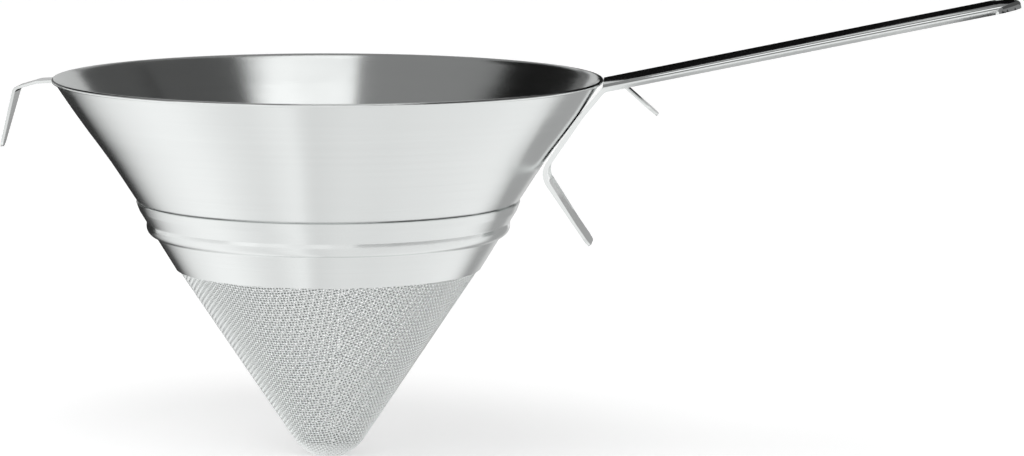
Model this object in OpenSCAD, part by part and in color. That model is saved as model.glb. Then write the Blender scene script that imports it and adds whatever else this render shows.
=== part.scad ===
// Fine mesh strainer: a spun steel hopper with a clamped cone of wire mesh,
// one stamped handle and two hooks that rest on the rim of a pot.
// The mouth lies in the XY plane, the cone hangs below it and the handle runs along +X.

/* [Hopper] */
// Radius of the mouth, over the rolled hem
rim_r = 100; // [85:1:130]
// Height of the rolled hem
hem_h = 1.4; // [1:0.1:2.4]
// How far the hem stands out from the wall at its middle
hem_proud = 0.7; // [0.4:0.1:1.2]
// Angle between the hopper wall and the upright axis
wall_angle = 34.2; // [30:0.1:38]
// Thickness of the hopper's sheet
hopper_t = 0.8; // [0.5:0.1:1.2]
// Height of the hopper's lower lip inside the clamp
lip_h = 18.3; // [16:0.1:20]

/* [Clamp collar] */
// Depth of the collar's upper edge under the mouth
collar_depth = 45; // [36:0.5:56]
// Height of the collar
collar_h = 23.9; // [22:0.1:34]
// Angle between the collar and the upright axis
collar_angle = 31.2; // [27:0.1:35]
// Thickness of the collar's sheet
collar_t = 0.6; // [0.4:0.1:1]
// Height of the collar's upper edge where it turns in to the wall
crimp_h = 2.5; // [1.5:0.1:4]
// How far the rolled bead stands out
bead_h = 1.4; // [0.6:0.1:1.8]
// Depth of the bead's middle under the collar's upper edge
bead_depth = 9.3; // [8:0.1:12]
// Steepness of the bead's sides
bead_angle = 36; // [30:1:42]
// Outer radius of the bead's crest
bead_r = 3.6; // [3.2:0.1:4.5]
// Outer radius of the hollow at the bead's feet
bead_foot_r = 0.8; // [0.4:0.1:1.2]
// Distance from the crimp down to where the wall takes the collar's slope
kink_drop = 0.2; // [0:0.1:2]

/* [Mesh] */
// Thickness of the woven mesh, over two crossing wires
mesh_t = 0.7; // [0.4:0.1:1.2]
// Angle between the mesh cone and the upright axis
mesh_angle = 33.5; // [30:0.1:37]
// Outer radius of the rounded tip
tip_r = 15.2; // [8:0.1:22]
// Width of the mesh's edge that the clamp holds
mesh_grip = 20.2; // [18.5:0.1:20.5]
// Openings round the cone, a plain grid in place of the fine weave
mesh_columns = 24; // [12:2:24]
// Rows of these openings
mesh_rows = 6; // [3:1:8]
// Share of its place in the grid that an opening takes, each way
mesh_share = 0.66; // [0.4:0.02:0.7]
// Whole band between the collar and the first row
mesh_band = 2.6; // [1.5:0.1:5]

/* [Handle] */
// Length of the grip from the rim to its end
grip_len = 152.6; // [110:0.5:200]
// Angle at which the grip rises
grip_angle = 11.9; // [5:0.1:20]
// Width of the grip
grip_w = 20; // [17:0.5:24]
// Height of the grip, from its free edges to its crest
grip_h = 4.5; // [4:0.1:7]
// Depth of the grip's free edges under the mouth, at the rim
grip_drop = 3.7; // [3:0.1:5]
// Radius of the grip's arched top
crown_r = 25; // [20:0.5:40]
// Radius of the grip's shoulders
shoulder_r = 1.7; // [1.4:0.1:2.2]
// Thickness of the handle's sheet
handle_t = 1.1; // [0.8:0.1:1.3]
// Clearance between the handle and the hem
rim_gap = 0.3; // [0.2:0.05:0.5]
// Radius of the free edges at the root
root_r = 3.6; // [2:0.1:5]
// Depth of the flanges along the strap
flange_h = 1.75; // [1.5:0.05:2.2]
// Depth of the place where the strap leaves the wall to pass the hem
lean_depth = 12; // [9:0.5:16]
// Radius of the hang hole
hang_r = 2.5; // [1.5:0.1:3.5]
// Distance from the hang hole's centre to the grip's end
hang_inset = 8; // [6.5:0.1:12]

/* [Leg] */
// Depth of the corner where the strap turns into the leg
leg_depth = 33.5; // [30:0.5:37]
// Radius of that corner
leg_r = 7.7; // [6:0.1:10]
// Angle of the leg below the horizontal
leg_angle = 55.3; // [48:0.1:62]
// Length of the leg past its bend
leg_len = 26.8; // [18:0.1:32]
// Length of the leg that keeps its flanges
leg_flange_len = 17; // [8:0.5:17]
// Radius of the leg's two corners
leg_corner_r = 3.5; // [1:0.1:6]

/* [Rest hook] */
// Width of the rest hook
rest_w = 6; // [4:0.5:9]
// Length of the rest hook past its bend
rest_len = 19.2; // [14:0.1:26]
// Angle of the rest hook below the horizontal
rest_angle = 41; // [30:1:50]
// Distance from the rim to the rest hook's bend
rest_reach = 6.2; // [5.5:0.1:10]
// Radius of the rest hook's bend
rest_r = 2.2; // [1.5:0.1:3]

/* [Front hook] */
// Width of the front hook
front_w = 12; // [8:0.5:16]
// Width of the front hook at its tip
front_tip_w = 5; // [4:0.1:7]
// Reach of the front hook past the rim, to its corner
front_reach = 15; // [12:0.1:20]
// How far the front hook's arm falls from the rim to its corner
front_fall = 3; // [2:0.1:5]
// Length of the arm's flat part, where it starts to fall
front_flat = 6.5; // [4:0.1:9]
// Fall of the arm's flat part
front_flat_fall = 0.45; // [0.2:0.05:0.8]
// Radius of the bend between the front hook's strap and its arm
front_root_r = 2; // [1.4:0.1:2.6]
// Length of the front hook past its corner
front_len = 23.1; // [16:0.1:30]
// Angle of the front hook's end away from the upright
front_lean = 15.1; // [5:0.1:18]
// Radius of the front hook's corner
front_r = 3; // [2:0.1:4]
// Length of the front hook's strap down the wall
front_strap = 20; // [12:0.5:26]

/* [Hooks and fits] */
// Thickness of both hooks' sheet
hook_t = 1.1; // [0.8:0.1:1.3]
// Clearance between the clamped layers
layer_gap = 0.05; // [0.03:0.01:0.1]
// Clearance at the spot welds
weld_gap = 0.2; // [0.1:0.05:0.3]

/* [Hidden] */
steel = "silver";
mesh_grey = "darkgray";
bright = "gainsboro";
// Segments in a bend, a crown and a turned surface
bend_steps = 8;
crown_steps = 14;
turned = 128;
// How far cutting shapes run past what they cut
over = 3;
reach = 60;

// Radius of the hopper's outside at height z
function wall_r(z) = rim_r - hem_proud + (z + hem_h/2)*tan(wall_angle);
// The hopper's wall turns to the collar's slope a little under the collar's upper edge
kink_z = -collar_depth - crimp_h - kink_drop;
function clamp_point(z) = [wall_r(kink_z) + (z - kink_z)*tan(collar_angle), z];
clamp_out = [cos(collar_angle), -sin(collar_angle)];
clamp_up = [sin(collar_angle), cos(collar_angle)];

// Distances of each layer outward from the hopper's outside
mesh_in = layer_gap;
mesh_out = mesh_in + mesh_t;
collar_in = mesh_out + layer_gap;
collar_out = collar_in + collar_t;

// The bead as a low roof on the clamp line, rounded at its crest and feet
crest_r = bead_r - collar_out;
foot_r = collar_out + bead_foot_r;
roof_h = bead_h + crest_r*(1/cos(bead_angle) - 1);
bead_mid = clamp_point(-collar_depth - bead_depth);
bead_points = [bead_mid + clamp_up*roof_h/tan(bead_angle),
    bead_mid + clamp_out*roof_h,
    bead_mid - clamp_up*roof_h/tan(bead_angle)];
bead_radii = [foot_r, crest_r, foot_r];
collar_end = clamp_point(-collar_depth - collar_h);

// The mesh cone's tip, on the same layer distances
tip_in_r = tip_r - mesh_out;
tip_z = collar_end[1] - (cos(mesh_angle)*collar_end[0] - tip_in_r)/sin(mesh_angle);

// Places of the handle in the XZ plane
root_x = rim_r + rim_gap;
root = [root_x, -grip_drop];
grip_dir = [cos(grip_angle), sin(grip_angle)];
grip_up = [-sin(grip_angle), cos(grip_angle)];
function strap_point(z) = [wall_r(z) + weld_gap/cos(wall_angle), z];
leg_corner = strap_point(-leg_depth);
leg_dir = [cos(leg_angle), -sin(leg_angle)];
leg_turn = 180 - (90 - wall_angle) - leg_angle;
leg_start = leg_corner + leg_dir*leg_r*tan(leg_turn/2);
leg_end = leg_start + leg_dir*leg_len;
hem_clear = [root_x, -hem_h - rim_gap];

// Unit vector from p to q, and the one to its right
function dir(p, q) = (q - p)/norm(q - p);
function right(d) = [d[1], -d[0]];
function reversed(v) = [for (i = [len(v) - 1:-1:0]) v[i]];
function arc(c, r, from, to, steps) =
    [for (k = [0:steps]) let (a = from + (to - from)*k/steps) c + r*[cos(a), sin(a)]];

// One rounded corner of a path, moved e to the path's right
function bend(p, d1, d2, r, e) =
    let (n1 = right(d1), q = p + (n1 + right(d2))*e/(1 + n1*right(d2)),
        side = d1[0]*d2[1] - d1[1]*d2[0] > 0 ? -1 : 1,
        rad = r - side*e,
        turn = acos(min(1, d1*d2)),
        start = q - d1*rad*tan(turn/2),
        from = atan2(-side*n1[1], -side*n1[0]))
    r == 0 ? [q] : arc(start + side*n1*rad, rad, from, from - side*turn, bend_steps);

// A whole path with its corners rounded, moved e to its right
function beside(path, radii, e) =
    let (last = len(path) - 1)
    concat([path[0] + right(dir(path[0], path[1]))*e],
        [for (i = [1:last - 1])
            each bend(path[i], dir(path[i - 1], path[i]), dir(path[i], path[i + 1]), radii[i], e)],
        [path[last] + right(dir(path[last - 1], path[last]))*e]);

// A strip of sheet between two distances from a path
function strip(path, radii, e1, e2) =
    concat(beside(path, radii, e1), reversed(beside(path, radii, e2)));

// A profile in the XZ plane as a plate of width w about y = 0
module plate(points, w) {
    translate([0, w/2, 0]) rotate([90, 0, 0]) linear_extrude(w) polygon(points);
}

// The rolled hem and the wall down to the clamped lip, in one turned section
module hopper() {
    hem_mid = [rim_r - hem_h/2, -hem_h/2];
    wall_foot = clamp_point(kink_z - lip_h);
    path = concat([[wall_r(-hem_h), -hem_h], clamp_point(kink_z)], bead_points, [wall_foot]);
    radii = concat([0, 0], bead_radii, [0]);
    inner = reversed(beside(path, radii, hopper_t));
    top_in = [wall_r(0) - hopper_t/cos(wall_angle), 0];
    section = concat(arc(hem_mid, hem_h/2, 90, -90, bend_steps), beside(path, radii, 0), inner, [top_in]);
    color(steel) rotate_extrude($fn = turned) polygon(section);
}

// The ring over the mesh's edge, turned in at the top to meet the wall
module clamp_collar() {
    edge = [wall_r(-collar_depth) + weld_gap/2, -collar_depth] - clamp_out*collar_in;
    path = concat([edge, clamp_point(-collar_depth - crimp_h)], bead_points, [collar_end]);
    radii = concat([0, 0], bead_radii, [0]);
    color(steel) rotate_extrude($fn = turned) polygon(strip(path, radii, -collar_out, -collar_in));
}

// The woven cone as a shell of its true outer shape with a plain grid, closed by a round tip
module mesh_cone() {
    edge = clamp_point(collar_end[1] + mesh_grip);
    side_end = [0, tip_z] + tip_in_r*[cos(mesh_angle), -sin(mesh_angle)];
    path = concat([edge], bead_points, [collar_end, side_end]);
    radii = concat([0], bead_radii, [0, 0]);
    outer_tip = arc([0, tip_z], tip_r, -mesh_angle, -90, crown_steps);
    inner_tip = arc([0, tip_z], tip_r - mesh_t, -mesh_angle, -90, crown_steps);
    section = concat(beside(path, radii, -mesh_out), [for (i = [1:crown_steps]) outer_tip[i]],
        reversed([for (i = [1:crown_steps]) inner_tip[i]]), reversed(beside(path, radii, -mesh_in)));
    color(mesh_grey) difference() {
        rotate_extrude($fn = turned) polygon(section);
        mesh_grid(collar_end[1] - mesh_band, side_end[1]);
    }
}

// The openings between two heights: each lies between two planes through the axis
module mesh_grid(top, foot) {
    row_h = (top - foot)/mesh_rows;
    column = 360/mesh_columns;
    side = [cos(column*mesh_share/2), sin(column*mesh_share/2)];
    other = [side[0], -side[1]];
    near = tip_in_r/3;
    for (row = [0:mesh_rows - 1], k = [0:mesh_columns - 1])
        translate([0, 0, foot + (row + (1 - mesh_share)/2)*row_h])
            rotate([0, 0, (k + 0.5)*column]) linear_extrude(row_h*mesh_share)
                polygon([near*other, rim_r*other, rim_r*side, near*side]);
}

// Half of the grip's section, inset by e: the arched crown, the shoulder, the flank down to foot
function half_section(e, foot) =
    let (reach_r = crown_r - shoulder_r,
        x = grip_w/2 - shoulder_r,
        rise = sqrt(reach_r*reach_r - x*x),
        mid = [0, grip_h - crown_r],
        tilt = atan2(rise, x))
    concat([[0, foot]],
        arc(mid, crown_r - e, 90, tilt, crown_steps/2),
        [for (k = [1:bend_steps]) let (a = tilt*(1 - k/bend_steps))
            mid + [x, rise] + (shoulder_r - e)*[cos(a), sin(a)]],
        [[grip_w/2 - e, foot]]);

function whole_section(e, foot) =
    let (half = half_section(e, foot), n = len(half))
    concat([for (i = [1:n - 1]) half[i]], [for (i = [n - 1:-1:2]) [-half[i][0], half[i][1]]]);

// Into the grip's own frame: along the grip, across it and up from its free edges
module on_grip() {
    translate([root[0], 0, root[1]]) rotate([0, -grip_angle, 0]) children();
}

// The grip's section carried along it between two distances from the root
module grip_bar(e, foot, from, to) {
    on_grip() translate([from, 0, 0]) rotate([90, 0, 90]) linear_extrude(to - from)
        polygon(whole_section(e, foot));
}

// The rounded end of the grip, the same section turned about an upright line
module grip_end(e, foot) {
    on_grip() translate([bar_len, 0, 0]) rotate_extrude($fn = turned) polygon(half_section(e, foot));
}

// The web's path from the leg's tip up the wall, past the hem and above the crest
web_path = [leg_end, leg_corner, strap_point(-lean_depth), hem_clear, [root_x, grip_h + over]];
web_radii = [0, leg_r, 0, 0, 0];
bar_len = grip_len - grip_w/2;
past_end = root + grip_dir*grip_len;

// Side view of the handle: the web on the left and above, the free edges on the right and below
function handle_side() =
    let (lean_dir = dir(strap_point(-lean_depth), hem_clear),
        strap_dir = dir(leg_corner, strap_point(-lean_depth)),
        foot = strap_point(-lean_depth) + right(lean_dir)*flange_h,
        meet = foot + lean_dir*((root - foot)*right(grip_dir))/(lean_dir*right(grip_dir)),
        free_path = [leg_start, leg_corner, strap_point(-lean_depth), hem_clear],
        free = beside(free_path, [0, leg_r, 0, 0], flange_h),
        strap_part = [for (i = [1:len(free) - 2]) free[i]],
        fillet = bend(meet, lean_dir, grip_dir, root_r, 0),
        leg_free = [leg_end + right(-leg_dir)*handle_t,
            leg_start + leg_dir*leg_flange_len + right(-leg_dir)*handle_t])
    concat(beside(web_path, web_radii, 0), [past_end + grip_up*(grip_h + over), past_end],
        reversed(fillet), reversed(strap_part), reversed(leg_free));

// Side view of the hollow between the flanges, open to the right and below
function hollow_side() =
    let (web = beside(web_path, web_radii, handle_t),
        start = leg_end + leg_dir*over + right(-leg_dir)*handle_t)
    concat([start], web, [past_end + grip_up*(grip_h + over), past_end - grip_up*over,
        leg_end + leg_dir*over + [reach, 0]]);

// One stamped strip: grip, root, strap down the wall and leg
module handle() {
    color(bright) difference() {
        union() {
            intersection() {
                plate(handle_side(), grip_w);
                grip_bar(0, -2*reach, -reach, bar_len);
            }
            grip_end(0, 0);
        }
        intersection() {
            plate(hollow_side(), grip_w);
            grip_bar(handle_t, -2*reach, -reach, bar_len);
        }
        grip_end(handle_t, -over);
        on_grip() translate([grip_len - hang_inset, 0, 0])
            cylinder(r = hang_r, h = grip_h + over, $fn = 48);
        for (side = [-1, 1]) leg_corner_cut(side);
    }
}

// What the leg's rounded corner leaves outside
module leg_corner_cut(side) {
    corner_y = grip_w/2 - leg_corner_r;
    translate([leg_end[0], 0, leg_end[1]]) rotate([0, leg_angle, 0])
        translate([-leg_corner_r, side*corner_y, -over]) difference() {
            translate([0, side > 0 ? 0 : -leg_corner_r - over, 0])
                cube([leg_corner_r + over, leg_corner_r + over, 3*over]);
            translate([0, 0, -over]) cylinder(r = leg_corner_r, h = 5*over, $fn = 48);
        }
}

// A tab's outline seen along X: full width down to z1, then narrowing to a round tip at z2
function tab_outline(w, tip_w, top, z1, z2) =
    let (r = tip_w/2, round = arc([0, z2 + r], r, 0, -180, 2*bend_steps))
    concat([[-w/2, top], [-w/2, z1]], reversed(round), [[w/2, z1], [w/2, top]]);

// The tab under the handle's root: a flange under the crown, then a straight slope down
module rest_hook() {
    crown_drop = rest_w*rest_w/8/(crown_r - handle_t);
    flange_up = grip_h - handle_t - crown_drop - layer_gap;
    flange_start = handle_t + weld_gap + flange_up*tan(grip_angle);
    corner = root + grip_dir*rest_reach + grip_up*flange_up;
    down = [cos(rest_angle), -sin(rest_angle)];
    end = corner + down*rest_len;
    path = [root + grip_dir*flange_start + grip_up*flange_up, corner, end];
    foot_z = end[1] - hook_t*cos(rest_angle);
    outline = tab_outline(rest_w, rest_w, over, foot_z + rest_w, foot_z);
    color(bright) intersection() {
        plate(strip(path, [0, rest_r, 0], 0, hook_t), rest_w);
        translate([corner[0] - over - rest_reach, 0, 0]) rotate([90, 0, 90])
            linear_extrude(reach) polygon(outline);
    }
}

// The hook opposite the handle: a strap down the wall, an arm past the rim and a narrowing end
module front_hook() {
    arm_z = -hem_h - weld_gap;
    strap_foot = strap_point(arm_z - front_strap*cos(wall_angle));
    arm_mid = [rim_r + front_flat, arm_z - front_flat_fall];
    corner = [rim_r + front_reach, arm_z - front_fall];
    end = corner + front_len*[sin(front_lean), -cos(front_lean)];
    path = [strap_foot, strap_point(arm_z), arm_mid, corner, end];
    sheet = strip(path, [0, front_root_r, 0, front_r, 0], 0, hook_t);
    arm_outline = tab_outline(front_w, front_w, over, strap_foot[1] + front_w, strap_foot[1] - hook_t);
    end_outline = tab_outline(front_w, front_tip_w, over, corner[1], end[1]);
    arm_start = rim_r - reach;
    color(bright) mirror([1, 0, 0]) intersection() {
        plate(sheet, front_w);
        union() {
            translate([arm_start, 0, 0]) rotate([90, 0, 90])
                linear_extrude(arm_mid[0] - arm_start) polygon(arm_outline);
            translate([arm_mid[0], 0, 0]) rotate([90, 0, 90]) linear_extrude(reach) polygon(end_outline);
        }
    }
}

hopper();
clamp_collar();
mesh_cone();
handle();
rest_hook();
front_hook();
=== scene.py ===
# %% [markdown]
# A fine mesh strainer. A spun steel hopper carries a cone of woven wire in a clamp
# collar, and one stamped strip is its handle, with two hooks that rest on a pot's rim.
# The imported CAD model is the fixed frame. Every piece below lies where the frame says,
# in metres, with the mouth in the XY plane and the handle along +X.

# %% Loading the frame
import math
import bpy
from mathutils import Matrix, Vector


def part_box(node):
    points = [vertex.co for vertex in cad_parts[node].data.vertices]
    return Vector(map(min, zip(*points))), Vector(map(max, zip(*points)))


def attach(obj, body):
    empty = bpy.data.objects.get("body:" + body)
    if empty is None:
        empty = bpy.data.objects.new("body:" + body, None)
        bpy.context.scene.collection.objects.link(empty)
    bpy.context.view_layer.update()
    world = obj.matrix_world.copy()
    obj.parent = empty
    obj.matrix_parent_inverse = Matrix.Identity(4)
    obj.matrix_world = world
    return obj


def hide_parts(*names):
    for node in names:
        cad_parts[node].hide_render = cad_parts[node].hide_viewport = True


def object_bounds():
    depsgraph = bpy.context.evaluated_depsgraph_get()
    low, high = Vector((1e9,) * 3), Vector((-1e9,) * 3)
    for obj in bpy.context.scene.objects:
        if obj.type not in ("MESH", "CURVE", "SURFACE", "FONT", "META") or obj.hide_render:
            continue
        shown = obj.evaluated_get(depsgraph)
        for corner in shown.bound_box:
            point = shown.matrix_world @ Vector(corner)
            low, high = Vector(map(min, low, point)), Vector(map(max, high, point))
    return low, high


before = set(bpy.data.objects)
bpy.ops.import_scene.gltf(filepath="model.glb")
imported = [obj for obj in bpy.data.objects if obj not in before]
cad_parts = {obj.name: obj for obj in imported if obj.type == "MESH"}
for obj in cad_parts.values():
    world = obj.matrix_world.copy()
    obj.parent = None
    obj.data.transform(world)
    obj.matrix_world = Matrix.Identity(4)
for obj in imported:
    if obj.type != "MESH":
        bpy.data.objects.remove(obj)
cad_box = [list(map(float, corner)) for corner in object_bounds()]
print("CAD box", cad_box)

import bpy
import numpy as np
from mathutils import Matrix, Vector

MM = 0.001

# %% [markdown]
# The camera comes first, because everything is judged through it. A long lens from
# about 1.4 metres away sees the mouth as a narrow ellipse, so small errors in its height
# show at once. The camera was solved from points on the rim, the cone and the handle.

# %% Camera
CAMERA_PLACE = Vector((0.17071, -1.38298, 0.12943))
CAMERA_TARGET = Vector((0.06715, 0.0, -0.05445))
CAMERA_ROLL = math.radians(0.2549)
FOCAL_PIXELS = 3843
IMAGE_WIDTH = 1024
SENSOR_MM = 36


def camera_axes(place, target, roll):
    """Right, up and back of a camera that looks at the target: forward crossed with the
    upright gives right, right crossed with forward gives up, and both turn by the roll."""
    forward = (target - place).normalized()
    level = forward.cross(Vector((0, 0, 1))).normalized()
    above = level.cross(forward)
    right = level * math.cos(roll) + above * math.sin(roll)
    up = above * math.cos(roll) - level * math.sin(roll)
    return right, up, -forward


lens = bpy.data.cameras.new("camera")
lens.sensor_fit = "HORIZONTAL"
lens.sensor_width = SENSOR_MM
lens.lens = FOCAL_PIXELS / IMAGE_WIDTH * SENSOR_MM
camera = bpy.data.objects.new("camera", lens)
bpy.context.scene.collection.objects.link(camera)
axes = camera_axes(CAMERA_PLACE, CAMERA_TARGET, CAMERA_ROLL)
camera.matrix_world = Matrix.Translation(CAMERA_PLACE) @ Matrix(axes).transposed().to_4x4()
bpy.context.scene.camera = camera
bpy.context.scene.view_settings.view_transform = "Standard"
print("lens", round(lens.lens, 2), "mm")

# %% [markdown]
# Most of the pieces are sheet steel bent along a path. A strip of sheet is two parallel
# curves of one path, so this helper gives a path moved sideways with its corners
# rounded: corner i turns on a circle of its own radius, and the moved circle keeps the
# same centre.

# %% Paths and parallel curves
BEND_STEPS = 12


def unit(vector):
    """The vector over its own length."""
    return vector / np.linalg.norm(vector)


def right_of(direction):
    """The direction turned a quarter turn to the right, in the plane of the path."""
    return np.array([direction[1], -direction[0]])


def arc(centre, radius, start, end, steps=BEND_STEPS):
    """Points on a circle from one angle to another, in degrees."""
    turn = np.radians(np.linspace(start, end, steps + 1))
    return np.asarray(centre) + radius * np.stack([np.cos(turn), np.sin(turn)], 1)


def corner(point, before, after, radius, offset):
    """One corner of a path moved to its right by the offset, and rounded."""
    n1, n2 = right_of(before), right_of(after)
    moved = point + (n1 + n2) * offset / (1 + n1 @ n2)
    side = -1 if before[0] * after[1] - before[1] * after[0] > 0 else 1
    true_radius = radius - side * offset
    turn = math.acos(min(1, before @ after))
    start = moved - before * true_radius * math.tan(turn / 2)
    first = math.degrees(math.atan2(-side * n1[1], -side * n1[0]))
    centre = start + side * n1 * true_radius
    return arc(centre, true_radius, first, first - side * math.degrees(turn))


def beside(path, radii, offset):
    """The whole path moved to its right by the offset, its corners rounded. The radii of
    its two ends aren't used."""
    path = np.asarray(path, float)
    ways = [unit(b - a) for a, b in zip(path[:-1], path[1:])]
    bends = [
        corner(path[i], ways[i - 1], ways[i], radii[i], offset)
        for i in range(1, len(path) - 1)
    ]
    first = path[:1] + right_of(ways[0]) * offset
    last = path[-1:] + right_of(ways[-1]) * offset
    return np.concatenate([first, *bends, last])


def resampled(points, step):
    """The same polyline with extra points, so that no two are further apart than the step."""
    lengths = np.linalg.norm(np.diff(points, axis=0), axis=1)
    counts = np.maximum(1, np.ceil(lengths / step)).astype(int)
    spans = np.repeat(np.arange(len(counts)), counts)
    places = np.arange(len(spans)) - np.repeat(np.cumsum(counts) - counts, counts)
    share = (places / np.repeat(counts, counts))[:, None]
    inner = points[spans] * (1 - share) + points[spans + 1] * share
    return np.concatenate([inner, points[-1:]])


# %% [markdown]
# Blender meshes are built from whole arrays. A grid of rings gives its quads from index
# arithmetic. The last ring joins the first, and so does the last point of each ring.

# %% Meshes from arrays
SHARP_ANGLE = math.radians(32)
TURN_STEPS = 480


def make_piece(name, points, faces, sharp=SHARP_ANGLE):
    """A mesh object at the origin from points in millimetres and an array of faces."""
    mesh = bpy.data.meshes.new(name)
    mesh.from_pydata(np.asarray(points) * MM, [], faces)
    mesh.polygons.foreach_set("use_smooth", np.ones(len(mesh.polygons), bool))
    if sharp:
        mesh.set_sharp_from_angle(angle=sharp)
    mesh.update()
    piece = bpy.data.objects.new(name, mesh)
    bpy.context.scene.collection.objects.link(piece)
    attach(piece, "root")
    return piece


def grid_faces(rings, around):
    """Quads of a closed grid with so many rings of so many points each."""
    i = np.arange(rings)[:, None]
    j = np.arange(around)[None, :]
    a = i * around + j
    b = (i + 1) % rings * around + j
    c = (i + 1) % rings * around + (j + 1) % around
    d = i * around + (j + 1) % around
    return np.stack([a, b, c, d], -1).reshape(-1, 4)


def turned(name, outline):
    """A closed outline of (distance from the axis, height) turned once about the upright
    axis: x = distance * cos(turn), y = distance * sin(turn), z = height."""
    outline = np.asarray(outline, float)
    nxt = np.roll(outline, -1, 0)
    if np.sum(outline[:, 0] * nxt[:, 1] - nxt[:, 0] * outline[:, 1]) < 0:
        outline = outline[::-1]
    turn = np.linspace(0, 2 * np.pi, TURN_STEPS, endpoint=False)[:, None]
    r, z = outline[None, :, 0], outline[None, :, 1]
    points = np.stack([r * np.cos(turn), r * np.sin(turn), z + 0 * turn], -1)
    return make_piece(name, points.reshape(-1, 3), grid_faces(TURN_STEPS, len(outline)))


# %% [markdown]
# The hopper is spun from one disc of sheet. Its edge is rolled into a hem, its wall
# falls at a little over 34 degrees from the upright, and its lower lip follows the clamp,
# bead and all. The values are the frame's own, in millimetres. The real wall isn't quite
# straight: it swells slightly under the hem and pulls in again lower down.

# %% The hopper's shape
RIM_R, HEM_H, HEM_PROUD = 100, 1.4, 0.7
WALL_ANGLE, HOPPER_T, LIP_H = 34.2, 0.8, 18.3
COLLAR_DEPTH, COLLAR_H, COLLAR_ANGLE, COLLAR_T = 45, 23.9, 31.2, 0.6
CRIMP_H, KINK_DROP = 2.5, 0.2
BEAD_H, BEAD_DEPTH, BEAD_ANGLE, BEAD_R, BEAD_FOOT_R = 1.4, 9.3, 36, 3.6, 0.8
MESH_T, LAYER_GAP, WELD_GAP = 0.7, 0.05, 0.2
SWELL_DEPTHS = [0, 5, 10, 14, 19, 25, 30, 36, 43]
SWELL = [0, 0.12, 0.2, 0.15, 0, -0.32, -0.42, -0.3, 0]


def tangent(angle):
    return math.tan(math.radians(angle))


def wall_r(z):
    """Radius of the wall's outside at height z."""
    return RIM_R - HEM_PROUD + (z + HEM_H / 2) * tangent(WALL_ANGLE)


kink_z = -COLLAR_DEPTH - CRIMP_H - KINK_DROP
collar_rad = math.radians(COLLAR_ANGLE)
clamp_out = np.array([math.cos(collar_rad), -math.sin(collar_rad)])
clamp_up = np.array([math.sin(collar_rad), math.cos(collar_rad)])


def clamp_point(z):
    """Point of the clamp's slope at height z."""
    return np.array([wall_r(kink_z) + (z - kink_z) * tangent(COLLAR_ANGLE), z])


mesh_out = LAYER_GAP + MESH_T
collar_in = mesh_out + LAYER_GAP
collar_out = collar_in + COLLAR_T
crest_r = BEAD_R - collar_out
roof_h = BEAD_H + crest_r * (1 / math.cos(math.radians(BEAD_ANGLE)) - 1)
bead_mid = clamp_point(-COLLAR_DEPTH - BEAD_DEPTH)
bead_reach = clamp_up * roof_h / tangent(BEAD_ANGLE)
bead_points = [bead_mid + bead_reach, bead_mid + clamp_out * roof_h, bead_mid - bead_reach]
bead_radii = [collar_out + BEAD_FOOT_R, crest_r, collar_out + BEAD_FOOT_R]
collar_end = clamp_point(-COLLAR_DEPTH - COLLAR_H)
print("clamp ends at", collar_end.round(2))

# %% [markdown]
# The shell is one closed outline, turned once round the axis: over the rolled hem, down
# the outside, round the lip's lower edge and up the inside again.

# %% The hopper
KINK_R = 6
WALL_STEP = 1.5
EDGE_OUT, EDGE_DOWN = 0.15, 0.1

lip_end = clamp_point(kink_z - LIP_H)
wall_path = [[wall_r(-HEM_H), -HEM_H], clamp_point(kink_z), *bead_points, lip_end]
wall_radii = [0, KINK_R, *bead_radii, 0]


def swollen(points):
    """The wall's radius plus its slight swell, which is read from a table of depths."""
    points = resampled(points, WALL_STEP)
    swell = np.interp(-points[:, 1], SWELL_DEPTHS, SWELL)
    return points + np.stack([swell, 0 * swell], 1)


hem_arc = arc([RIM_R - HEM_H / 2, -HEM_H / 2], HEM_H / 2, 90, -90)
outside = swollen(beside(wall_path, wall_radii, 0))
inside = swollen(beside(wall_path, wall_radii, HOPPER_T))[::-1]
level_t = HOPPER_T / math.cos(math.radians(WALL_ANGLE))
top_inside = [[wall_r(0) - level_t + EDGE_OUT, -EDGE_DOWN]]
hopper = turned("hopper_shell", np.concatenate([hem_arc, outside, inside, top_inside]))
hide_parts("hopper")
print("hopper", len(hopper.data.polygons), "faces")

# %% [markdown]
# The clamp collar is a second spun ring over the mesh's edge. Its upper edge is crimped
# in to the wall, and a rolled bead locks collar, mesh and lip together.

# %% The clamp collar
CRIMP_R = 2.5

crimped = np.array([wall_r(-COLLAR_DEPTH) + WELD_GAP / 2, -COLLAR_DEPTH])
collar_edge = crimped - clamp_out * collar_in
collar_path = [collar_edge, clamp_point(-COLLAR_DEPTH - CRIMP_H), *bead_points, collar_end]
collar_radii = [0, CRIMP_R, *bead_radii, 0]


def strip(path, radii, near, far):
    """Outline of a sheet between two distances to the right of a path."""
    return np.concatenate([beside(path, radii, near), beside(path, radii, far)[::-1]])


collar = turned("clamp_ring", strip(collar_path, collar_radii, -collar_out, -collar_in))
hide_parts("clamp_collar")
print("collar", len(collar.data.polygons), "faces")

# %% [markdown]
# The cone of mesh is cut from flat woven cloth as a sector, rolled up and joined at the
# back, and its tip is pressed round. Weaving real wires on that flat blank gives the
# turn of the weave for free: its rows rise by 12 degrees at the front, ever more to one
# side and ever less to the other, as the cone turns away.

# %% The weave's values
MESH_ANGLE, TIP_R = 33.5, 15.2
PITCH, WIRE_R, WAVE_H = 1.15, 0.25, 0.18
WEAVE_TURN = math.radians(-12.3)
WEAVE_TOP = -64

alpha = math.radians(MESH_ANGLE)
tip_mid_r = TIP_R - MESH_T / 2
tip_in_r = TIP_R - mesh_out
tip_z = collar_end[1] - (math.cos(alpha) * collar_end[0] - tip_in_r) / math.sin(alpha)
cone_start = tip_mid_r / math.tan(alpha)
print("tip's centre at", round(tip_z, 2))


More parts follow.
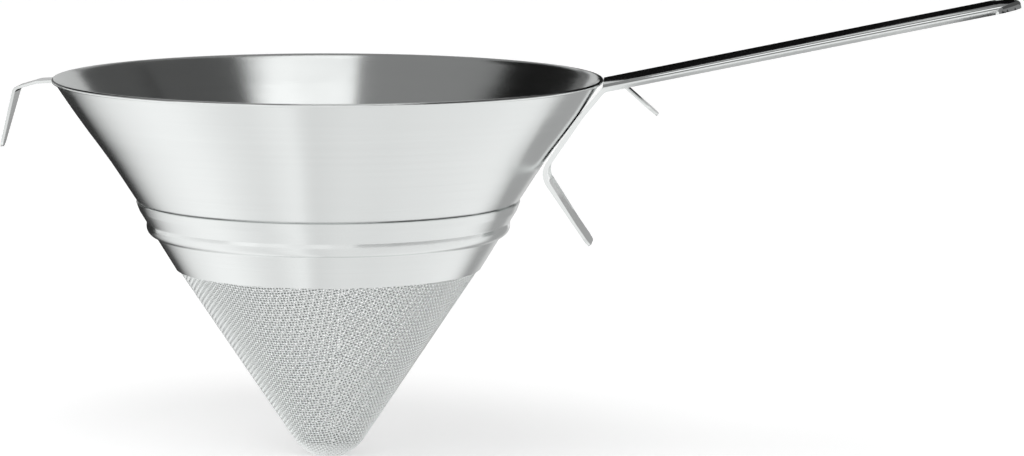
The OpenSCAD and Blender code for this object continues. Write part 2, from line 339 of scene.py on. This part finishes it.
# %% [markdown]
# Every place on the blank has its place on the finished cone. Distance from the blank's
# centre becomes distance along the cone's side, so the cloth keeps its length down the
# cone, and only the round tip and the clamp change its shape.

# %% The weave's surface
TIP_STEPS = 40
CONE_STEP = 1


def meridian():
    """Side view of the mesh's middle layer, as (distance from the axis, height) against the
    distance from the blank's centre: a round tip, the cone, then the clamp's slope."""
    tip = arc([0, tip_z], tip_mid_r, -90, -MESH_ANGLE, TIP_STEPS)
    middle = LAYER_GAP + MESH_T / 2
    joint = collar_end + clamp_out * middle
    top = clamp_point(WEAVE_TOP) + clamp_out * middle
    line = resampled(np.array([tip[-1], joint, top]), CONE_STEP)[1:]
    beyond = np.linalg.norm(np.diff(np.concatenate([tip[-1:], line]), axis=0), axis=1)
    over_tip = np.linspace(0, cone_start, len(tip))
    distance = np.concatenate([over_tip, cone_start + np.cumsum(beyond)])
    points = np.concatenate([tip, line])
    slope = np.gradient(points, distance, axis=0)
    slope /= np.linalg.norm(slope, axis=1)[:, None]
    return distance, points, np.stack([slope[:, 1], -slope[:, 0]], 1)


distances, side_points, side_normals = meridian()
blank_r = distances[-1]
half_blank = math.pi * math.sin(alpha)
blank_turn = math.degrees(2 * half_blank)
print("blank", round(blank_r, 1), "mm radius,", round(blank_turn, 1), "degrees")


def on_cone(u, v):
    """Points and normals of the mesh's middle layer for flat places (u, v) on the blank:
    the distance from the blank's centre sets the height, and the angle from its middle
    line, over the sine of the cone's angle, sets the turn from the front."""
    far, turn = np.hypot(u, v), np.arctan2(v, u) / math.sin(alpha) - math.pi / 2
    r, z = (np.interp(far, distances, side_points[:, k]) for k in (0, 1))
    nr, nz = (np.interp(far, distances, side_normals[:, k]) for k in (0, 1))
    across = np.stack([np.cos(turn), np.sin(turn)], -1)
    return (
        np.concatenate([r[..., None] * across, z[..., None]], -1),
        np.concatenate([nr[..., None] * across, nz[..., None]], -1),
    )


# %% [markdown]
# A wire of a plain weave passes over one crossing wire and under the next. Each is a
# six-sided tube here: few faces, because there are thousands of crossings, and round
# enough at half a millimetre. The two families are made in five shares each, so that no
# piece grows too large.

# %% The wires
SIDES = 6
SHARES = 5
WEFT_BELOW = 0.4
TINY = 1e-9


def wires(name, family, numbers):
    """Tubes along the numbered wires of one family. On the blank a wire runs straight, the
    first family along the middle line turned by a small angle and the second square to it.
    Its height over the middle layer is a cosine with half a turn per crossing, with the
    other family in opposite step."""
    numbers = np.asarray(numbers)
    half = int(blank_r / PITCH) + 1
    steps = np.arange(-2 * half, 2 * half + 1)
    places = numbers * PITCH + PITCH / 2, steps * PITCH / 2 + PITCH / 2
    across, along = np.meshgrid(*places, indexing="ij")
    turn = WEAVE_TURN + family * math.pi / 2
    sign = 1 if family == 0 else -1
    u = along * math.cos(turn) - across * sign * math.sin(turn)
    v = along * math.sin(turn) + across * sign * math.cos(turn)
    inside = (np.hypot(u, v) < blank_r) & (np.abs(np.arctan2(v, u)) < half_blank)
    inside[:, [0, -1]] = False
    points, normals = on_cone(u, v)
    wave = np.cos(math.pi * (steps[None, :] / 2 + numbers[:, None])) * sign
    points = points + normals * (WAVE_H * wave)[..., None]
    ways = np.roll(points, -1, 1) - np.roll(points, 1, 1)
    starts = inside & ~np.roll(inside, 1, 1)
    ends = inside & ~np.roll(inside, -1, 1)
    ways = np.where(starts[..., None], np.roll(points, -1, 1) - points, ways)
    ways = np.where(ends[..., None], points - np.roll(points, 1, 1), ways)
    ways /= np.maximum(np.linalg.norm(ways, axis=-1), TINY)[..., None]
    sides = np.cross(ways, normals)
    normals = np.cross(sides, ways)
    turn = np.arange(SIDES) * 2 * np.pi / SIDES
    up, aside = np.cos(turn)[:, None], np.sin(turn)[:, None]
    ring = up * normals[:, :, None] + aside * sides[:, :, None]
    tube = (points[:, :, None] + WIRE_R * ring)[inside]
    index = np.cumsum(inside.ravel()).reshape(inside.shape) - 1
    joined = inside[:, :-1] & inside[:, 1:]
    a = index[:, :-1][joined][:, None] * SIDES
    b = index[:, 1:][joined][:, None] * SIDES
    j, k = np.arange(SIDES), (np.arange(SIDES) + 1) % SIDES
    quads = np.stack([a + j, a + k, b + k, b + j], -1).reshape(-1, 4)
    caps = [index[starts][:, None] * SIDES + j[::-1], index[ends][:, None] * SIDES + j]
    faces = [*quads.tolist(), *np.concatenate(caps).tolist()]
    piece = make_piece(name, tube.reshape(-1, 3), faces, sharp=None)
    # Painted shade mask: 1 on the side of each wire that faces out of the cone, 0 on the side
    # that faces its axis, where the steel's tone is darkened.
    outer = np.tile(np.clip(0.5 + np.cos(turn), 0, 1), len(tube))
    piece.data.attributes.new("outer", "FLOAT", "POINT").data.foreach_set("value", outer)
    return piece


# The blank is a little more than half a circle, so few weft wires lie below its centre.
reach = int(blank_r / PITCH) + 1
first_wires = {"warp": -reach, "weft": -int(WEFT_BELOW * reach)}
weave = [
    wires(f"weave_{word}_{part + 1}", family, share)
    for family, (word, first) in enumerate(first_wires.items())
    for part, share in enumerate(np.array_split(np.arange(first, reach + 1), SHARES))
]
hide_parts("mesh_cone")
print("weave", [len(piece.data.polygons) for piece in weave])

# %% [markdown]
# The handle and the two hooks are stamped strips. The frame's own solids have their
# shape, so a merged copy of each is smoothed, and its stamped edges get a fine radius.

# %% Smoothed copies of the stamped solids
import bmesh

EDGE_RADIUS, EDGE_SEGMENTS = 0.22, 2
EDGE_ANGLE = math.radians(40)
CUT_STEP = 3.0
MERGE_DISTANCE, CUT_DISTANCE = 1e-6, 1e-7
FLAT_ANGLE = 0.001


def smoothed_copy(name, node):
    """A copy of a CAD node with its loose triangles merged, flat faces joined and then cut
    every few millimetres, so that the smooth shading of one bend doesn't spread along the
    whole strip, and with a small radius on its edges."""
    work = bmesh.new()
    work.from_mesh(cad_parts[node].data)
    bmesh.ops.remove_doubles(work, verts=work.verts, dist=MERGE_DISTANCE)
    bmesh.ops.dissolve_limit(work, angle_limit=FLAT_ANGLE, verts=work.verts, edges=work.edges)
    low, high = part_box(node)
    for x in np.arange(low[0] + CUT_STEP * MM, high[0], CUT_STEP * MM):
        plane = {"dist": CUT_DISTANCE, "plane_co": (x, 0, 0), "plane_no": (1, 0, 0)}
        bmesh.ops.bisect_plane(work, geom=[*work.verts, *work.edges, *work.faces], **plane)
    mesh = bpy.data.meshes.new(name)
    work.to_mesh(mesh)
    work.free()
    mesh.polygons.foreach_set("use_smooth", np.ones(len(mesh.polygons), bool))
    piece = bpy.data.objects.new(name, mesh)
    bpy.context.scene.collection.objects.link(piece)
    bevel = piece.modifiers.new("stamped_edge", "BEVEL")
    bevel.width = EDGE_RADIUS * MM
    bevel.segments = EDGE_SEGMENTS
    bevel.limit_method = "ANGLE"
    bevel.angle_limit = EDGE_ANGLE
    flat = piece.modifiers.new("flat_faces", "WEIGHTED_NORMAL")
    flat.keep_sharp = True
    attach(piece, "root")
    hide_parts(node)
    return piece


handle = smoothed_copy("handle_strip", "handle")
rest = smoothed_copy("rest_tab", "rest_hook")
front = smoothed_copy("front_strap", "front_hook")
print("handle", len(handle.data.polygons), "faces before its radius")

# %% [markdown]
# Brushing is the same effect on the hopper, the wires and the handle, only finer or
# longer. A node group keeps it in one place: it stretches noise along one direction and
# gives the marks as a value. A second group gives the slow stains of use.

# %% Shared effects
COARSE_SCALE, COARSE_SHARE = 0.23, 0.4
FINE_DETAIL, COARSE_DETAIL = 4.0, 2.0
STAIN_DETAIL, STAIN_START, STAIN_FULL = 3.0, 0.35, 0.7


def new_group(name, inputs, outputs):
    """An empty node group with named float or vector sockets."""
    group = bpy.data.node_groups.new(name, "ShaderNodeTree")
    for label, kind, default in inputs:
        socket = group.interface.new_socket(label, in_out="INPUT", socket_type=kind)
        if default is not None:
            socket.default_value = default
    for label, kind in outputs:
        group.interface.new_socket(label, in_out="OUTPUT", socket_type=kind)
    return group, group.nodes.new("NodeGroupInput"), group.nodes.new("NodeGroupOutput")


def link(tree, source, target):
    tree.links.new(source, target)


def brushing_group():
    """Marks: a fine and a coarse noise on a stretched place, mixed by the coarse share."""
    group, given, out = new_group(
        "brushing",
        [("Place", "NodeSocketVector", None), ("Stretch", "NodeSocketVector", (1, 1, 1))],
        [("Marks", "NodeSocketFloat")],
    )
    stretch = group.nodes.new("ShaderNodeVectorMath")
    stretch.operation = "MULTIPLY"
    fine = group.nodes.new("ShaderNodeTexNoise")
    fine.inputs["Scale"].default_value = 1.0
    fine.inputs["Detail"].default_value = FINE_DETAIL
    coarse = group.nodes.new("ShaderNodeTexNoise")
    coarse.inputs["Scale"].default_value = COARSE_SCALE
    coarse.inputs["Detail"].default_value = COARSE_DETAIL
    mix = group.nodes.new("ShaderNodeMix")
    mix.inputs["Factor"].default_value = COARSE_SHARE
    link(group, given.outputs["Place"], stretch.inputs[0])
    link(group, given.outputs["Stretch"], stretch.inputs[1])
    for noise, slot in ((fine, "A"), (coarse, "B")):
        link(group, stretch.outputs["Vector"], noise.inputs["Vector"])
        link(group, noise.outputs["Fac"], mix.inputs[slot])
    link(group, mix.outputs["Result"], out.inputs["Marks"])
    return group


def stains_group():
    """Stains: slow noise, raised so that most of the surface has none."""
    group, given, out = new_group(
        "use_stains",
        [("Place", "NodeSocketVector", None), ("Size", "NodeSocketFloat", 40.0)],
        [("Stains", "NodeSocketFloat")],
    )
    noise = group.nodes.new("ShaderNodeTexNoise")
    noise.inputs["Detail"].default_value = STAIN_DETAIL
    ramp = group.nodes.new("ShaderNodeMapRange")
    ramp.inputs["From Min"].default_value = STAIN_START
    ramp.inputs["From Max"].default_value = STAIN_FULL
    link(group, given.outputs["Place"], noise.inputs["Vector"])
    link(group, given.outputs["Size"], noise.inputs["Scale"])
    link(group, noise.outputs["Fac"], ramp.inputs["Value"])
    link(group, ramp.outputs["Result"], out.inputs["Stains"])
    return group


brushing = brushing_group()
stains = stains_group()
print("groups", brushing.name, stains.name)

# %% [markdown]
# All the steel is bare metal: a grey base colour and a roughness that makes the finish.
# Satin steel is rougher across its marks than along them. The shader's anisotropy gives
# this, with a tangent that runs round the axis and then turns by a quarter. The side of
# each wire that faces the cone's axis gets painted shade, a darker tone, so that the
# mesh's openings look dark.

# %% Steel
COOL_TINT = (0.975, 1.0, 0.992)
QUARTER_TURN = 0.25
STAIN_ROUGHNESS = 0.04
RELIEF_DEPTH = 0.00002


def steel(name, tones, roughness, stretch, bump, anisotropy=0.0, inner=1.0):
    """A steel finish: the marks move its tone and roughness between two values each, the
    stains add a little roughness, and the marks press a fine relief. Where the wire's
    attribute is 0, on the side that faces the cone's axis, the tone is multiplied by the
    inner value, which paints shade there."""
    material = bpy.data.materials.new(name)
    material.use_nodes = True
    tree = material.node_tree
    shader = tree.nodes["Principled BSDF"]
    shader.inputs["Metallic"].default_value = 1.0
    shader.inputs["Anisotropic"].default_value = anisotropy
    shader.inputs["Anisotropic Rotation"].default_value = QUARTER_TURN
    place = tree.nodes.new("ShaderNodeTexCoord")
    marks = tree.nodes.new("ShaderNodeGroup")
    marks.node_tree = brushing
    marks.inputs["Stretch"].default_value = stretch
    slow = tree.nodes.new("ShaderNodeGroup")
    slow.node_tree = stains
    tone = tree.nodes.new("ShaderNodeMix")
    tone.data_type = "RGBA"
    for label, value in zip("AB", tones):
        tone.inputs[label].default_value = (*(value * part for part in COOL_TINT), 1)
    rough = tree.nodes.new("ShaderNodeMapRange")
    rough.inputs["To Min"].default_value = roughness[0]
    rough.inputs["To Max"].default_value = roughness[1]
    worn = tree.nodes.new("ShaderNodeMath")
    worn.operation = "MULTIPLY_ADD"
    worn.inputs[1].default_value = STAIN_ROUGHNESS
    relief = tree.nodes.new("ShaderNodeBump")
    relief.inputs["Strength"].default_value = bump
    relief.inputs["Distance"].default_value = RELIEF_DEPTH
    for group in (marks, slow):
        link(tree, place.outputs["Object"], group.inputs["Place"])
    link(tree, marks.outputs["Marks"], tone.inputs["Factor"])
    link(tree, marks.outputs["Marks"], rough.inputs["Value"])
    link(tree, slow.outputs["Stains"], worn.inputs[0])
    link(tree, rough.outputs["Result"], worn.inputs[2])
    link(tree, marks.outputs["Marks"], relief.inputs["Height"])
    # Painted shade: the tone is darkened by the inner value on the wires' side that faces the
    # cone's axis.
    if inner < 1:
        side = tree.nodes.new("ShaderNodeAttribute")
        side.attribute_name = "outer"
        share = tree.nodes.new("ShaderNodeMapRange")
        share.inputs["To Min"].default_value = inner
        painted_shade = tree.nodes.new("ShaderNodeVectorMath")
        painted_shade.operation = "SCALE"
        link(tree, side.outputs["Fac"], share.inputs["Value"])
        link(tree, tone.outputs["Result"], painted_shade.inputs[0])
        link(tree, share.outputs["Result"], painted_shade.inputs["Scale"])
        link(tree, painted_shade.outputs["Vector"], shader.inputs["Base Color"])
    else:
        link(tree, tone.outputs["Result"], shader.inputs["Base Color"])
    link(tree, worn.outputs["Value"], shader.inputs["Roughness"])
    link(tree, relief.outputs["Normal"], shader.inputs["Normal"])
    if anisotropy:
        around = tree.nodes.new("ShaderNodeTangent")
        around.direction_type = "RADIAL"
        around.axis = "Z"
        link(tree, around.outputs["Tangent"], shader.inputs["Tangent"])
    return material


satin = steel(
    "satin_steel",
    tones=(0.82, 0.88),
    roughness=(0.13, 0.22),
    stretch=(14, 14, 2600),
    bump=0.1,
    anisotropy=0.8,
)
# The inner value 0.62 is painted shade on the wires' side that faces the cone's axis.
wire = steel(
    "wire_steel",
    tones=(0.9, 0.97),
    roughness=(0.2, 0.3),
    stretch=(300, 300, 300),
    bump=0.1,
    inner=0.62,
)
polished = steel(
    "polished_steel",
    tones=(0.82, 0.86),
    roughness=(0.04, 0.08),
    stretch=(60, 900, 900),
    bump=0.03,
)


def dress(piece, material):
    piece.data.materials.clear()
    piece.data.materials.append(material)


for piece in (hopper, collar):
    dress(piece, satin)
for piece in weave:
    dress(piece, wire)
for piece in (handle, rest, front):
    dress(piece, polished)
print("materials", [m.name for m in bpy.data.materials])

# %% [markdown]
# The studio is a pale floor in even light. The floor is a plain matt disc that keeps the
# object's shadow. Where the camera or a reflection sees it, it gives off a little light
# of its own, so that it looks near white without more light on the object.

# %% Floor
FLOOR_Z = cad_box[0][2]
FLOOR_R, FLOOR_POINTS = 9.0, 64
FLOOR_TONE, FLOOR_LIFT = 0.8, 0.42

turn = np.linspace(0, 2 * np.pi, FLOOR_POINTS, endpoint=False)
floor_mesh = bpy.data.meshes.new("floor")
rim = np.stack([FLOOR_R * np.cos(turn), FLOOR_R * np.sin(turn), 0 * turn + FLOOR_Z], 1)
floor_mesh.from_pydata(rim, [], [list(range(FLOOR_POINTS))])
floor = bpy.data.objects.new("floor", floor_mesh)
bpy.context.scene.collection.objects.link(floor)

pale = bpy.data.materials.new("pale_floor")
pale.use_nodes = True
tree = pale.node_tree
shader = tree.nodes["Principled BSDF"]
shader.inputs["Base Color"].default_value = (FLOOR_TONE, FLOOR_TONE, FLOOR_TONE, 1)
shader.inputs["Roughness"].default_value = 1.0
shader.inputs["Specular IOR Level"].default_value = 0.0
shader.inputs["Emission Color"].default_value = (1, 1, 1, 1)
rays = tree.nodes.new("ShaderNodeLightPath")
seen = tree.nodes.new("ShaderNodeMath")
seen.operation = "MAXIMUM"
shown = tree.nodes.new("ShaderNodeMath")
shown.operation = "MAXIMUM"
lift = tree.nodes.new("ShaderNodeMath")
lift.operation = "MULTIPLY"
lift.inputs[1].default_value = FLOOR_LIFT
link(tree, rays.outputs["Is Camera Ray"], seen.inputs[0])
link(tree, rays.outputs["Is Glossy Ray"], seen.inputs[1])
link(tree, seen.outputs["Value"], shown.inputs[0])
link(tree, rays.outputs["Is Transmission Ray"], shown.inputs[1])
link(tree, shown.outputs["Value"], lift.inputs[0])
link(tree, lift.outputs["Value"], shader.inputs["Emission Strength"])
floor_mesh.materials.append(pale)
print("floor at", FLOOR_Z)


# %% [markdown]
# Polished metal has no colour of its own to show, only what stands round it. So dark and
# pale cards that only the steel sees draw the bands that tell the eye it is polished. One
# card lies flat on the floor round the cone, with a tone for each turn about the axis, and
# shades the wall as a real studio's table and walls do. Soft lamps and two wide suns light
# the floor and the wires.

# %% Cards and lamps
SKY_STRENGTH = 0.23
RING_SIZE, RING_LIFT = 1.5, 0.0008
LEVEL_LIMIT = 0.001


def facing(place, target):
    """Matrix that puts an object at a place with its -Z side towards the target."""
    back = (Vector(place) - Vector(target)).normalized()
    side = Vector((0, 0, 1)).cross(back)
    side = side.normalized() if side.length > LEVEL_LIMIT else Vector((1, 0, 0))
    turned_to = Matrix((side, back.cross(side), back)).transposed().to_4x4()
    return Matrix.Translation(place) @ turned_to


def card(name, place, target, width, height, tone, roll=0):
    """A plain card that only reflections see: its corners are half its width and height
    from its place, across the line to the target, and it is turned by the roll in degrees."""
    mesh = bpy.data.meshes.new(name)
    w, h = width / 2, height / 2
    mesh.from_pydata([(-w, -h, 0), (w, -h, 0), (w, h, 0), (-w, h, 0)], [], [(0, 1, 2, 3)])
    material = bpy.data.materials.new(name)
    material.use_nodes = True
    face = material.node_tree.nodes["Principled BSDF"]
    face.inputs["Base Color"].default_value = (0, 0, 0, 1)
    face.inputs["Specular IOR Level"].default_value = 0.0
    face.inputs["Roughness"].default_value = 1.0
    face.inputs["Emission Color"].default_value = (tone, tone, tone, 1)
    face.inputs["Emission Strength"].default_value = 1.0
    mesh.materials.append(material)
    board = bpy.data.objects.new(name, mesh)
    bpy.context.scene.collection.objects.link(board)
    board.matrix_world = facing(place, target) @ Matrix.Rotation(math.radians(roll), 4, "Z")
    board.visible_camera = False
    board.visible_diffuse = False
    board.visible_shadow = False
    board.visible_transmission = False
    return board


def softbox(name, place, target, width, height, radiance):
    """A rectangular lamp: its power is its radiance times pi times its area."""
    lamp = bpy.data.lights.new(name, "AREA")
    lamp.shape = "RECTANGLE"
    lamp.size, lamp.size_y = width, height
    lamp.energy = radiance * math.pi * width * height
    item = bpy.data.objects.new(name, lamp)
    bpy.context.scene.collection.objects.link(item)
    item.matrix_world = facing(place, target)
    item.visible_camera = False
    return item


# Name, centre, the point it faces, width, height, tone, and the roll if it has one
CARDS = [
    ("card_handle", (0.166, 0.12, 0.065), (0.166, 0, 0.065), 0.192, 0.13, 0.004),
    ("card_back_low", (0.0, 0.8, 0.14), (0.0, 0, 0.14), 0.6, 0.36, 0.54),
    ("card_back_high", (-0.125, 0.8, 0.78), (-0.125, 0, 0.78), 0.45, 0.84, 0.62),
    ("card_back_right", (0.72, 0.8, 0.62), (0.72, 0, 0.62), 0.8, 0.95, 0.08),
    ("card_right", (0.62, 0.05, 0.75), (0, 0.05, 0.75), 1.25, 1.15, 0.085),
    ("card_left", (-0.7, 0.61, 0.58), (0, 0.61, 0.58), 0.9, 0.76, 0.004),
    ("card_far_left", (-0.33, 0.82, 0.15), (-0.33, 0, 0.15), 0.36, 0.4, 0.13),
    ("card_low_left", (-0.23, 0.26, -0.0825), (-0.23, 0, -0.0825), 0.28, 0.125, 0.03),
    ("card_low_right", (0.15, 0.12, -0.09), (0.15, 0, -0.09), 0.1, 0.1, 0.38),
    ("card_front_far", (-0.54, -0.6, 0.1075), (-0.54, 0, 0.1075), 0.72, 0.485, 1.1),
    ("card_front_left", (-0.055, -0.6, 0.1075), (-0.055, 0, 0.1075), 0.25, 0.485, 0.85),
    ("card_front_mid", (0.165, -0.6, 0.0), (0.165, 0, 0.0), 0.19, 0.27, 0.95),
    ("card_front_high", (0.26, -0.6, 0.2425), (0.26, 0, 0.2425), 0.38, 0.215, 0.85),
    ("card_front_strap", (0.052, -0.599, -0.1), (0.052, 0, -0.1), 0.045, 0.08, 1.1),
    ("card_front_low", (-0.1825, -0.597, -0.08), (-0.1825, 0, -0.08), 0.515, 0.12, 0.95),
    ("card_low_far_left", (-0.72, -0.15, -0.08), (0, -0.15, -0.08), 0.9, 0.12, 1.05),
    ("card_front_flank", (0.203, -0.598, -0.027), (0.203, 0, -0.027), 0.25, 0.022, 0.46, 11.9),
    ("card_front_end", (0.291, -0.596, -0.012), (0.291, 0, -0.012), 0.08, 0.022, 0.02, 11.9),
    ("card_end_right", (0.6, -0.2, 0.01), (0, -0.2, 0.01), 0.8, 0.1, 0.02),
]
for card_values in CARDS:
    card(*card_values)

# Turn about the cone's axis in degrees, from -X through -Y to +X, and tone
RING_TONES = [
    (0, 0.97), (8, 1.01), (16, 1.04), (30, 1.03), (41, 0.96), (49, 0.9), (57, 0.86), (63, 0.85),
    (71, 0.91), (78, 0.96), (82, 0.93), (85, 0.84), (90, 0.78), (98, 0.81), (106, 0.84),
    (126, 0.83), (141, 0.86), (157, 0.88), (175, 0.92), (188, 0.95), (199, 0.94), (208, 0.78),
    (218, 0.45), (226, 0.32), (253, 0.66), (300, 0.05), (315, 0.07), (326, 0.4), (338, 0.72),
    (348, 0.88), (360, 0.97),
]
ring_place = (0, 0, FLOOR_Z + RING_LIFT)
ring = card("ring_card", ring_place, (0, 0, -1), RING_SIZE, RING_SIZE, tone=1.0)
tree = ring.data.materials[0].node_tree
place = tree.nodes.new("ShaderNodeTexCoord")
turned_by = tree.nodes.new("ShaderNodeTexGradient")
turned_by.gradient_type = "RADIAL"
tones = tree.nodes.new("ShaderNodeValToRGB")
for turn, tone in RING_TONES[1:-1]:
    tones.color_ramp.elements.new(turn / 360).color = (tone, tone, tone, 1)
for stop in (0, -1):
    tones.color_ramp.elements[stop].color = (*[RING_TONES[stop][1]] * 3, 1)
link(tree, place.outputs["Object"], turned_by.inputs["Vector"])
link(tree, turned_by.outputs["Fac"], tones.inputs["Fac"])
link(tree, tones.outputs["Color"], tree.nodes["Principled BSDF"].inputs["Emission Color"])
above, lamp_left = (0.16, -0.265, 0.8), (-0.6, -0.2, 0.5)
softbox("softbox_above", above, (0.16, -0.265, 0), width=0.52, height=0.37, radiance=1.05)
side_lamp = softbox(
    "lamp_left", lamp_left, (-0.2, -0.05, -0.14), width=0.5, height=0.5, radiance=1.2
)
side_lamp.visible_glossy = False


def sun(name, azimuth, height, strength, spread):
    """A sun lamp from a turn clockwise from behind and a height over the horizon."""
    lamp = bpy.data.lights.new(name, "SUN")
    lamp.energy, lamp.angle = strength, math.radians(spread)
    item = bpy.data.objects.new(name, lamp)
    bpy.context.scene.collection.objects.link(item)
    flat = math.cos(math.radians(height))
    way = (flat * math.sin(math.radians(azimuth)), flat * math.cos(math.radians(azimuth)))
    item.matrix_world = facing((*way, math.sin(math.radians(height))), (0, 0, 0))
    item.visible_glossy = False


sun("sun_front", azimuth=165, height=50, strength=1.3, spread=60)
sun("sun_left", azimuth=-75, height=60, strength=0.7, spread=60)

world = bpy.data.worlds.new("studio")
world.use_nodes = True
sky = world.node_tree.nodes["Background"]
sky.inputs["Color"].default_value = (1, 1, 1, 1)
sky.inputs["Strength"].default_value = SKY_STRENGTH
bpy.context.scene.world = world
